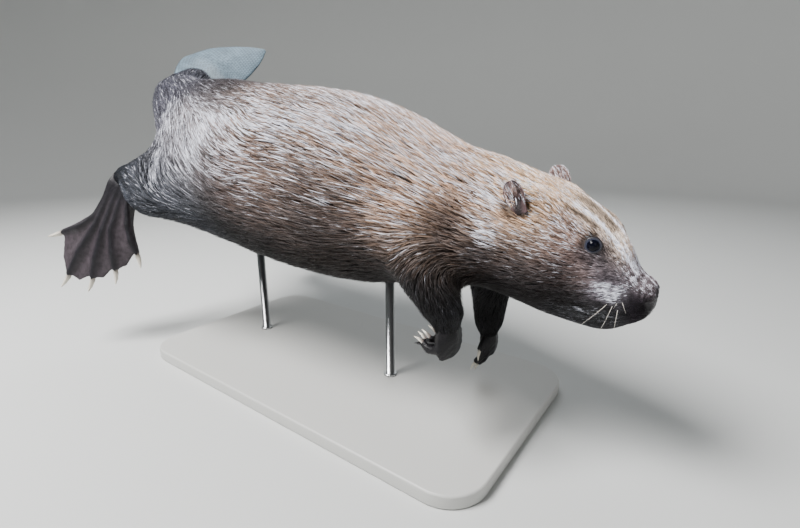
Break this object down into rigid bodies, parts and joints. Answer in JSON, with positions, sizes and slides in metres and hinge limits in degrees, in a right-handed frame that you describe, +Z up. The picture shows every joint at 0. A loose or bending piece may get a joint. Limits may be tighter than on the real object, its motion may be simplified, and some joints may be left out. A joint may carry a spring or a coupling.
{
  "type": "beaver",
  "caption": "Life-size adult beaver swimming with its head low, tail raised and webbed hind feet trailing, held on two rods over a plain base.",
  "frame": {"origin": "middle of the stand base's underside", "axes": "+X the way the beaver heads, +Y its left side, +Z up"},
  "size_m": [0.8903, 0.4511, 0.512],
  "materials": {
    "golden_fur": "wet guard hair over underfur",
    "brown_fur": "wet guard hair over underfur",
    "dark_fur": "short wet hair",
    "dark_skin": "bare wrinkled skin",
    "tail_scales": "scaly skin, satin",
    "claw": "horn, satin",
    "eye": "wet gloss",
    "stand": "satin paint",
    "rod": "brushed"
  },
  "bodies": {
    "root": {"hind_leg_right": "dark_fur", "hind_foot_right": "dark_skin", "claw_hind_foot_right_1": "claw", "claw_hind_foot_right_2": "claw", "claw_hind_foot_right_3": "claw", "claw_hind_foot_right_4": "claw", "claw_hind_foot_right_5": "claw", "foreleg_right": "dark_fur", "hand_right": "dark_skin", "claw_hand_right_1": "claw", "claw_hand_right_2": "claw", "claw_hand_right_3": "claw", "claw_hand_right_4": "claw", "claw_hand_right_5": "claw", "ear_right": "dark_skin", "eye_right": "eye", "hind_leg_left": "dark_fur", "hind_foot_left": "dark_skin", "claw_hind_foot_left_1": "claw", "claw_hind_foot_left_2": "claw", "claw_hind_foot_left_3": "claw", "claw_hind_foot_left_4": "claw", "claw_hind_foot_left_5": "claw", "foreleg_left": "dark_fur", "hand_left": "dark_skin", "claw_hand_left_1": "claw", "claw_hand_left_2": "claw", "claw_hand_left_3": "claw", "claw_hand_left_4": "claw", "claw_hand_left_5": "claw", "ear_left": "dark_skin", "eye_left": "eye", "head": "golden_fur", "neck": "golden_fur", "chest": "golden_fur", "loin": "brown_fur", "haunches": "brown_fur", "rump": "brown_fur", "tail_root": "brown_fur", "tail_blade": "tail_scales", "stand_base": "stand", "stand_rod_front": "rod", "stand_rod_rear": "rod"}
  },
  "joints": []
}
